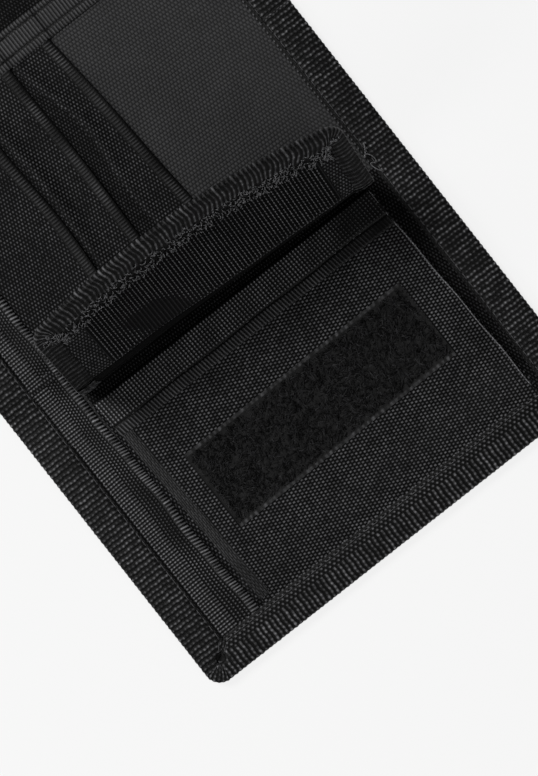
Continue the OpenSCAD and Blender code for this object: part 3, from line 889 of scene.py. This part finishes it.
pocket_floor()
fold_shade_band()
pocket_front()
pocket_hem()
pocket_fold("pocket_fold_right", POCKET_X1 - 0.1)
side_hem("pocket_hem_left", POCKET_X0, POCKET_X0 + 3.4)
gusset("left", POCKET_X0 + 0.2, POCKET_X0 - 1.3)
gusset("right", POCKET_X1 - 0.2, POCKET_X1 + 1.0)


# ---- hook and loop tapes
HOOK_PITCH = 1.10
HOOK_SPACING = 1.16


def loop_tape(name, low, high, place, count, seed):
    """Loop tape on the coin panel: a thin base with crushed fibre loops all over it."""
    pick = np.random.default_rng(seed)
    (x0, y0, _), (x1, y1, _) = low, high
    px = pick.uniform(x0 + 0.9, x1 - 0.9, count)
    py = pick.uniform(y0 + 1.6, y1 - 1.6, count)
    lean = 2 * math.pi * ripple(px, py, 9, seed + 1) + pick.normal(0, 0.8, count)
    reach = pick.uniform(0.8, 2.0, count)
    peak = pick.uniform(0.35, 0.95, count) * (0.8 + 0.25 * ripple(px, py, 6, seed + 2))
    t = np.linspace(0, 1, 5)
    px, py, lean, reach, peak = (values[:, None] for values in (px, py, lean, reach, peak))
    run = (t - 0.5) * reach
    curl = 0.35 * np.sin(2 * math.pi * t) * reach
    x = np.clip(px + np.cos(lean) * run - np.sin(lean) * curl, x0 + 0.3, x1 - 0.3)
    y = np.clip(py + np.sin(lean) * run + np.cos(lean) * curl, y0 + 0.8, y1 - 0.8)
    loops = placed(place, x, y, 0.1 + np.sin(math.pi * t) * peak)
    pile = tubes(name + "_pile", loops, 0.095, MAT["pile"], one_shade=True)
    gx, gy = lattice(x0, x1, 0.4, y0, y1, 0.4)
    border = np.minimum(gy - y0, y1 - gy)
    rib = 0.45 + 0.35 * wave(gx / 1.7) + 0.45 * ripple(gx, gy, 2.6, seed + 4)
    rib = rib * (1 - smoothstep(0.9, 1.4, border))
    height = 0.28 + 0.12 * rib + 0.12 * ripple(gx, gy, 2.2, seed + 3) * smoothstep(0.8, 1.4, border)
    base = closed_sheet(name + "_base", placed(place, gx, gy, height), placed(place, gx, gy, 0.02),
                        MAT["loop_edge"], xyz(gx, gy), rib)
    belongs(base, "coin_panel", "loop_tape", name + "_strip")
    belongs(pile, "coin_panel", "loop_tape")


def hook_tape(name, x0, x1, v0, far_edge, place, body, crushed=lambda x, v: 0.0):
    """Hook tape: columns of small moulded hooks on a ribbed base, drawn on a flat face and put in place.
    far_edge gives the tape's length at x, and crushed how flat the hooks are pressed there."""
    v_most = far_edge(np.linspace(x0, x1, 50)).max()
    gx, share = lattice(x0, x1, 0.22, 0, 1, 0.5 / (v_most - v0))
    gv = v0 + (far_edge(gx) - v0) * share
    rib = wave(gx / HOOK_PITCH) ** 1.2
    base = closed_sheet(name + "_base", placed(place, gx, gv, 0.22 + 0.14 * rib), placed(place, gx, gv, 0.02),
                        MAT["hook_base"], xyz(gx, gv), rib)
    first, last = math.ceil((x0 + 0.4) / HOOK_PITCH), math.floor((x1 - 0.4) / HOOK_PITCH)
    columns = np.arange(first, last + 1) * HOOK_PITCH
    cx, cv = np.meshgrid(columns, np.arange(v0 + 0.7, v_most, HOOK_SPACING))
    cv = cv + HOOK_SPACING / 2 * (np.arange(len(columns)) % 2)[None]
    kept = cv < far_edge(cx) - 0.5
    cx, cv = cx[kept][:, None], cv[kept][:, None]
    column = np.round(cx / HOOK_PITCH)
    # One hook, along its column: up the stem, over, and down at the tip
    along = np.array([-0.24, -0.18, 0.02, 0.22, 0.26])
    rise = np.array([0.15, 0.60, 0.84, 0.70, 0.46])
    tall = 0.80 + 0.25 * hashed(column, np.floor(cv * 1.7)) + 0.12 * ripple(cx, cv, 14, 71)
    tall = tall * (1 - 0.9 * crushed(cx, cv))
    facing = np.where(column % 2 == 0, 1.0, -1.0)
    hooks = tubes(name + "_hooks", placed(place, cx, cv + facing * along, rise * tall), 0.20, MAT["hook"],
                  lean=(1, 0.01, 0.02))
    belongs(base, body, "hook_tape", name + "_strip")
    belongs(hooks, body, "hook_tape")
    return base, hooks


LOOP_LOW, LOOP_HIGH = span("pocket_loop_strip")
LOOP_TURN = math.radians(0.7)


def loop_place(p):
    """The pocket's loop strip follows the cloth, sewn on a little askew."""
    centre = (LOOP_LOW + LOOP_HIGH) / 2
    dx, dy = p[:, 0] - centre[0], p[:, 1] - centre[1]
    x = centre[0] + dx * math.cos(LOOP_TURN) - dy * math.sin(LOOP_TURN)
    y = centre[1] + dx * math.sin(LOOP_TURN) + dy * math.cos(LOOP_TURN)
    return xyz(x, y, pocket_top(x, y) + p[:, 2])


loop_tape("pocket_loop", LOOP_LOW, LOOP_HIGH, loop_place, 4200, 31)
low, high = span("closure_hook_strip")
hook_tape("closure_hook", low[0], high[0], low[1], lambda x: high[1] + 0 * x, lambda p: p + [0, 0, Z_INSIDE],
          "third_panel")
loop_tape("closure_loop", *span("closure_loop_strip"), lambda p: p * [1, 1, -0.6] + [0, 0, Z_SHELL], 1800, 41)


# ---- card slots
SLOTS = ("back", "middle", "front")
HEM_W = 3.4


def slot_gape(level, y):
    """How far the cloth beyond a slot's edge lies in the shade of its opening."""
    if level == 1:
        return 0.8 + 4.6 * (1 - smoothstep(8, 44, y)) + 0.6 * np.sin(y / 6.5)
    return 1.3 + 0.4 * np.sin(y / 7.0)


def slot_height(level, x, y, edge):
    """A slot's cloth rests on the one below, lifts to its open edge, and is rucked beyond the next one's."""
    z = Z_INSIDE + 0.5 * (level + 1)
    near_edge = smoothstep(-14, 0, x - edge)
    lift = 0.18 + 0.3 * wave(y / 69.0 + 0.2 * level)
    ruck = 0.0
    if level < 2:
        past = x - slot_edge(level + 1, y) - slot_gape(level + 1, y) - 1.2
        ruck = (0.75, 0.95)[level] * bell(past, np.where(past < 0, 1.0, 2.6))
        ruck = ruck * (0.7 + 0.3 * np.sin(y / 11.0 + level))
    return z + near_edge * lift + ruck + 0.07 * ripple(x, y, 22, 50 + level)


def slot_edge(level, y):
    """x of a slot's open edge: the back one is slanted, and all are a little wavy."""
    low, high = span(f"slot_hem_{SLOTS[level]}")
    slant = 6.0 * (1 - (y - low[1]) / (high[1] - low[1])) - 6.0 if level == 0 else 0.0
    wavy = (0.1, 0.25, 0.55)[level] * np.sin(y / (13.0 - 2 * level) + level)
    return high[0] + slant + wavy + 1.4


def card_slot(level):
    """A slot's cloth, and the ribbed hem along its open edge."""
    name = SLOTS[level]
    low, high = span(f"card_slot_{name}")
    y = spaced(low[1], high[1], 1.0)
    edge = slot_edge(level, y)
    x = -SHEET_HALF + (edge - HEM_W + 0.15 + SHEET_HALF)[:, None] * np.linspace(0, 1, 130)[None]
    ys = np.broadcast_to(y[:, None], x.shape)
    obj = cloth_on("centre", "pocket_fabric", [f"card_slot_{name}"], f"card_slot_{name}_cloth", x, ys,
                   slot_height(level, x, ys, edge[:, None]), 0.36, "slot")
    y = spaced(low[1], high[1], 0.22)
    edge = slot_edge(level, y)
    t = np.linspace(0, 1, 13)
    x = (edge - HEM_W)[:, None] + HEM_W * t[None]
    ys = np.broadcast_to(y[:, None], x.shape)
    rib = wave(ys / 0.98 + 0.15 * np.sin(ys / 3.1)) ** 0.8
    fall = np.sin(math.pi * np.clip(t, 0, 1)) ** 0.5
    strength = 0.72 + 0.28 * ripple(ys, 0 * ys, 17, 81 + level)
    relief = rib * np.clip(fall * 1.3 - 0.2, 0, 1)[None] * strength
    twist = 0.40 * np.sin(ys / 8.5 + 2.1 * level) * np.maximum(0, t[None] - 0.4)
    top = slot_height(level, x, ys, edge[:, None]) + 0.08 + 0.12 * fall[None] + 0.12 * (relief - 1) + twist
    top = top - 0.12 * bell(t - 0.16, 0.05)[None]  # the sewn line
    cloth_on("centre", "hem_tape", [f"slot_hem_{name}"], f"slot_hem_{name}_tape", x, ys, top, 0.42, "slot_hem",
             relief)


def slot_inside(level):
    """A darker cloth, painted shade, that shows in the opening of a slot."""
    low, high = span(f"card_slot_{SLOTS[level]}")
    y = spaced(low[1], high[1], 1.0)
    x = (slot_edge(level, y) - 1.5)[:, None] + (1.5 + slot_gape(level, y))[:, None] * np.linspace(0, 1, 14)
    ys = np.broadcast_to(y[:, None], x.shape)
    below = slot_height(level - 1, x, ys, slot_edge(level - 1, ys))
    cloth_on("centre", "lining_fabric", [], f"slot_inside_{SLOTS[level]}", x, ys, below + 0.07, 0.05,
             "slot_inside")


for level in range(len(SLOTS)):
    card_slot(level)
    if level > 0:
        slot_inside(level)


def end_tape():
    """Tape over the far ends of the slots: it steps down at each slot's edge, and has two sewn rows."""
    low, high = span("slot_end_tape")
    edges = [slot_edge(level, low[1]) for level in range(len(SLOTS))]
    x, y = lattice(STRIP_INNER - 0.5, high[0] + 0.8, 0.21, low[1], high[1], 0.3)
    steps = sum(0.5 * (1 - smoothstep(e - 0.2, e + 1.8, x)) for e in edges)
    across = y - low[1]
    groove = bell(across - 2.6, 0.3) + bell(across - 8.1, 0.3)
    relief = wave(x / 1.04) ** 0.8 * (1 - groove)
    edge = smoothstep(0, 0.5, across) * smoothstep(0, 0.5, high[1] - y)
    top = Z_INSIDE + 0.35 + steps + 0.25 * edge - 0.25 * groove + 0.15 * (relief - 1)
    top = top + 0.08 * ripple(x, y, 18, 77)
    cloth_on("centre", "hem_tape", ["slot_end_tape"], "slot_end_tape_ribs", x, y, top, 0.4, "end_tape", relief)


end_tape()


# ---- flap
ROOT_ANGLE = math.radians(95)
TIP_ANGLE = math.radians(47)
FLAP_X0, FLAP_X1 = (corner[0] for corner in span("flap_riser"))
FLAP_MID = (FLAP_X0 + FLAP_X1) / 2
FLAP_HALF = (FLAP_X1 - FLAP_X0) / 2
ROOT_AT = axis_point("flap_lift")
TIP_AT = axis_point("flap_bend")
ROOT_LEN = float(np.linalg.norm((TIP_AT - ROOT_AT)[1:]))
TIP_LEN = 33.0
TIP_CORNER = 6.0
FLAP_BAND = 10.2
FLAP_SIDE = 6.0
FLAP_STEP = 0.3  # between stations of its binding
CREASE_ROUND = 0.76  # how far the rounded crease lies inside the sharp one
CREASE_REACH = 4.0
CREASE_HALF = (ROOT_ANGLE - TIP_ANGLE) / 2
FLAP_SKEW = 2.1  # the right end of the flap stands this far forward, and the left end back


def turned(p, at, angle):
    """From a part of the flap drawn flat (x, length, height of its inner face) to the root frame."""
    c, s = math.cos(angle), math.sin(angle)
    return xyz(p[:, 0], at[1] + p[:, 1] * c - p[:, 2] * s, at[2] + p[:, 1] * s + p[:, 2] * c)


def flap_across(x):
    """-1 at the flap's left side and 1 at its right."""
    return (x - FLAP_MID) / FLAP_HALF


def tip_bow(x, v):
    """How far the tip's surface is bowed off its plane: its corners and free edge curl up a little."""
    u = flap_across(x)
    w = np.clip(v / TIP_LEN, 0, 1)
    dent = 1.3 * bell(u + 0.45, 0.25) * bell(w - 0.25, 0.25)
    return 0.8 * w**2 * u**2 + 0.5 * w**2 - 0.45 * np.sin(math.pi * w) - dent + 0.18 * ripple(x, v, 40, 61)


def crease_shift(from_crease):
    """How far the cloth shifts along itself and off its plane where it rounds the crease."""
    near = CREASE_ROUND * np.clip(1 - from_crease / CREASE_REACH, 0, 1) ** 2
    return near * math.sin(CREASE_HALF), -near * math.cos(CREASE_HALF)


def skewed(p, share):
    """Turns points of the flap a little askew, by a share of the full skew."""
    p[:, 1] -= FLAP_SKEW * share * flap_across(p[:, 0])
    return p


def tip_place(p):
    """From the tip drawn flat to its place."""
    along, off = crease_shift(np.maximum(0, p[:, 1]))
    flat = xyz(p[:, 0], p[:, 1] + along, p[:, 2] + off + tip_bow(p[:, 0], p[:, 1]))
    return skewed(turned(flat, TIP_AT, TIP_ANGLE), 1.0)


def root_place(p):
    """From the root drawn flat to its place."""
    along, off = crease_shift(np.maximum(0, ROOT_LEN - p[:, 1]))
    flat = xyz(p[:, 0], p[:, 1] - along, p[:, 2] + off)
    return skewed(turned(flat, ROOT_AT, ROOT_ANGLE), np.clip(p[:, 1] / ROOT_LEN, 0, 1))


def tip_edge(x):
    """Length of the tip at x: the free edge is an arch that falls off more to the right."""
    u = flap_across(x)
    return TIP_LEN - 7.0 * u**2 - 1.0 * u


def flatten(obj):
    """Gives a flap piece its own copy of its mesh."""
    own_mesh(obj)


def on_flap(obj, body, slot, *nodes):
    """A piece of one of the flap's two bodies."""
    belongs(obj, body, slot, *nodes)
    flatten(obj)


def flap_cloths(body, x, v, place, lining):
    """The lining and the outer cloth of one part of the flap."""
    for side, top, material, slot in (("lining", 0.5, lining, "lining_fabric"),
                                      ("face", 0.0, MAT["shell"], "shell_fabric")):
        obj = closed_sheet(f"{body}_{side}_cloth", placed(place, x, v, top), placed(place, x, v, top - 0.45),
                           material, xyz(x, v))
        on_flap(obj, body, slot, f"{body}_{side}")


def tip_outline_length(x):
    """Length of the tip at x with its corners rounded."""
    cut = np.maximum(0, TIP_CORNER - np.minimum(x - FLAP_X0, FLAP_X1 - x))
    return tip_edge(x) - (TIP_CORNER - np.sqrt(np.maximum(0, TIP_CORNER**2 - cut**2)))


def tip_band_path():
    """Stations of the binding up the left side, round the corner, along the free edge and down again."""
    arc = np.linspace(math.pi, math.pi / 2, int(TIP_CORNER * math.pi / 2 / FLAP_STEP) + 2)[1:-1]
    left, right = FLAP_X0 + TIP_CORNER, FLAP_X1 - TIP_CORNER
    corners = []
    for x, turn in ((left, arc), (right, arc - math.pi / 2)):
        hub = np.array([x, tip_edge(x) - TIP_CORNER])
        corners.append(hub + TIP_CORNER * xyz(np.cos(turn), np.sin(turn)))
    top = np.concatenate([np.arange(left, FLAP_MID, FLAP_STEP), np.arange(FLAP_MID, right, FLAP_STEP)])
    outer = np.concatenate([
        xyz(FLAP_X0, np.arange(0, tip_edge(left) - TIP_CORNER, FLAP_STEP)),
        corners[0],
        xyz(top, tip_edge(top)),
        corners[1],
        xyz(FLAP_X1, np.arange(tip_edge(right) - TIP_CORNER, 0, -FLAP_STEP)),
    ])
    tangent = np.gradient(outer, axis=0)
    for _ in range(12):
        tangent[1:-1] = (tangent[:-2] + tangent[1:-1] + tangent[2:]) / 3
    tangent /= lengths(tangent)
    inward = xyz(tangent[:, 1], -tangent[:, 0])
    width = FLAP_SIDE + (FLAP_BAND - FLAP_SIDE) * smoothstep(0.2, 0.9, np.abs(inward[:, 1]))
    return outer, outer + inward * width[:, None]


def thread_tangle(outer, inner):
    """Short loose loops of sewing thread along the inner half of the flap's binding."""
    pick = np.random.default_rng(SEED + 5)
    count = 620
    station = pick.integers(70, len(outer) - 70, count)
    across = (inner - outer)[station]
    width = lengths(across)
    across /= width
    start = outer[station] + across * (width - pick.uniform(0.2, 4.6, count)[:, None])
    t = np.linspace(0, 1, 6)
    step = pick.uniform(0.6, 1.5, count)[:, None] / 5
    turn = pick.normal(0, 0.9, count)[:, None] + pick.normal(0, 1.3, count)[:, None] * t[None]
    inwards, along = np.cumsum(np.cos(turn) * step, 1), np.cumsum(np.sin(turn) * step, 1)
    (start_x, start_y), (to_x, to_y) = (values.T[..., None] for values in (start, across))
    x, v = start_x + to_x * inwards + to_y * along, start_y + to_y * inwards - to_x * along
    threads = placed(tip_place, x, v, 1.25 + 0.35 * np.sin(math.pi * t))
    # The loops are in the lighter thread material: painted highlights on them.
    on_flap(tubes("flap_thread_loops", threads, 0.11, MAT["bright_thread"]), "flap_tip", "binding_tape")


def pressed(x, v):
    """Where the flap's hooks are pressed flat: a slanted patch near the crease, left of the middle."""
    return np.exp(-np.abs((x + 14 + 0.7 * (v - 4)) / 12) ** 3 - np.abs((v - 5) / 8) ** 4)


def flap_tip():
    """The cloths of the tip, inside its binding's edge, the binding with its loose threads, and the hooks."""
    x = FLAP_MID + (FLAP_HALF - 1.5) * np.linspace(-1, 1, 90)
    reach = (tip_outline_length(x) - 1.5)[None]
    flap_cloths("flap_tip", *np.broadcast_arrays(x[None], reach * np.linspace(0, 1, 30)[:, None]), tip_place,
                MAT["slot"])
    outer, inner = tip_band_path()
    around = lengths(np.diff(outer, axis=0))[:, 0].sum()

    def weave(along, across):
        """Bold along the free edge, and flatter down the two sides."""
        side = 1 - smoothstep(16, 30, np.minimum(along, around - along))
        return flap_weave(along, across) * (1 - 0.45 * side) + 0.18 * side

    band, _ = folded_tape("flap_tip_binding_tape", outer, inner, -1.1, 1.1, MAT["flap_band"], weave,
                          place=tip_place, height=0.36, puff=0.5, sink=0.35)
    on_flap(band, "flap_tip", "binding_tape", "flap_tip_binding")
    thread_tangle(outer, inner)
    low, high = span("flap_hook_strip")
    for obj in hook_tape("flap_hook", low[0], high[0], 1.5, lambda x: tip_edge(x) - FLAP_BAND + 1.2,
                         lambda p: tip_place(p + [0, 0, 0.45]), "flap_tip", pressed):
        flatten(obj)


def flap_bend(name, at, share):
    """A rounded bend where the flap's parts meet, so that no gap opens as it turns."""
    turn = np.linspace(0, 2 * math.pi, 12, endpoint=False)[None]
    x = spaced(FLAP_X0 + 0.6, FLAP_X1 - 0.6, 2.0)[:, None]
    points = placed(lambda p: skewed(p, share), x, at[1] + np.cos(turn) * 0.5, at[2] + np.sin(turn) * 0.5)
    caps = np.array([[0, 1, 2, 3], [0, 3, 4, 11], [4, 5, 10, 11], [5, 6, 9, 10], [6, 7, 8, 9]])
    quads = np.concatenate([grid_quads(len(x), 12, True), caps, caps[:, ::-1] + (len(x) - 1) * 12])
    # The bend is near-black: painted shade in the crease.
    on_flap(add_mesh(f"flap_{name}_bend", points, quads, MAT["crease_shade"], xyz(x, turn * 0.5)), "flap_root",
            "lining_fabric")


def flap_root():
    """The cloths of the root, its two bindings, and the bends at its hinge and at the crease."""
    # The root's lining is made near-black: painted shade, as it stands in the crease's shade.
    flap_cloths("flap_root", *lattice(FLAP_X0 + 0.8, FLAP_X1 - 0.8, 1.2, 0, ROOT_LEN, 1.0), root_place,
                MAT["crease_shade"])
    for name, edge, side in (("left", FLAP_X0, 1), ("right", FLAP_X1, -1)):
        outer = xyz(edge, np.arange(0, ROOT_LEN, FLAP_STEP)[::side])
        band, _ = folded_tape(f"flap_root_binding_{name}_tape", outer, outer + [side * FLAP_SIDE, 0], -1.1, 1.1,
                              MAT["flap_band"], flap_weave, place=root_place, height=0.30, puff=0.2, sink=0.2)
        on_flap(band, "flap_root", "binding_tape", f"flap_root_binding_{name}")
    crease_out = ROOT_ANGLE - CREASE_HALF + math.pi / 2
    inside = -CREASE_ROUND * np.array([0, math.cos(crease_out), math.sin(crease_out)])
    flap_bend("hinge", ROOT_AT, 0.0)
    flap_bend("crease", TIP_AT + inside, 1.0)


def flap_riser():
    """The upright strip that the flap is hinged on."""
    low, high = span("flap_riser")
    x, z = lattice(low[0], high[0], 1.5, low[2], ROOT_AT[2], 0.8)
    mid = (low[1] + high[1]) / 2
    obj = closed_sheet("flap_riser_cloth", xyz(x, mid - 0.4, z), xyz(x, mid + 0.4, z), MAT["slot"], xyz(x, z))
    belongs(obj, "coin_panel", "lining_fabric", "flap_riser")


flap_riser()
flap_root()
flap_tip()


# ---- third panel: clear window
def window_tape(side):
    """One of the ribbed tapes round the window, sewn down along both edges."""
    low, high = span(f"window_tape_{side}")
    x, y = lattice(low[0], high[0], 0.25, low[1], high[1], 0.25)
    if side in ("left", "mouth"):
        along, across, wide = y, x - low[0], high[0] - low[0]
    else:
        along, across, wide = x, y - low[1], high[1] - low[1]
    groove = bell(across - 1.4, 0.3) + bell(across - wide + 1.4, 0.3)
    relief = wave(along / 1.05) ** 0.8 * (1 - 0.8 * groove)
    top = high[2] - 0.02 + 0.12 * (relief - 1) - 0.12 * groove
    node = f"window_tape_{side}"
    cloth_on("third_panel", "hem_tape", [node], node + "_ribs", x, y, top, 0.3, "hem", relief)


def window():
    """The clear film and the tapes round it."""
    low, high = span("window_film")
    x, y = lattice(low[0], high[0], 1.5, low[1], high[1], 1.5)
    film = cloth_on("third_panel", "clear_film", ["window_film"], "window_film_sheet", x, y,
                    high[2] + 0.1 + 0.12 * ripple(x, y, 30, 91), 0.25, "film")
    for side in ("left", "near", "far", "mouth"):
        window_tape(side)


window()
for body in ("centre", "coin", "third"):
    stiffener = frame["nodes"][f"stiffener_{body}"]
    stiffener.data.materials.clear()
    stiffener.data.materials.append(MAT["board"])
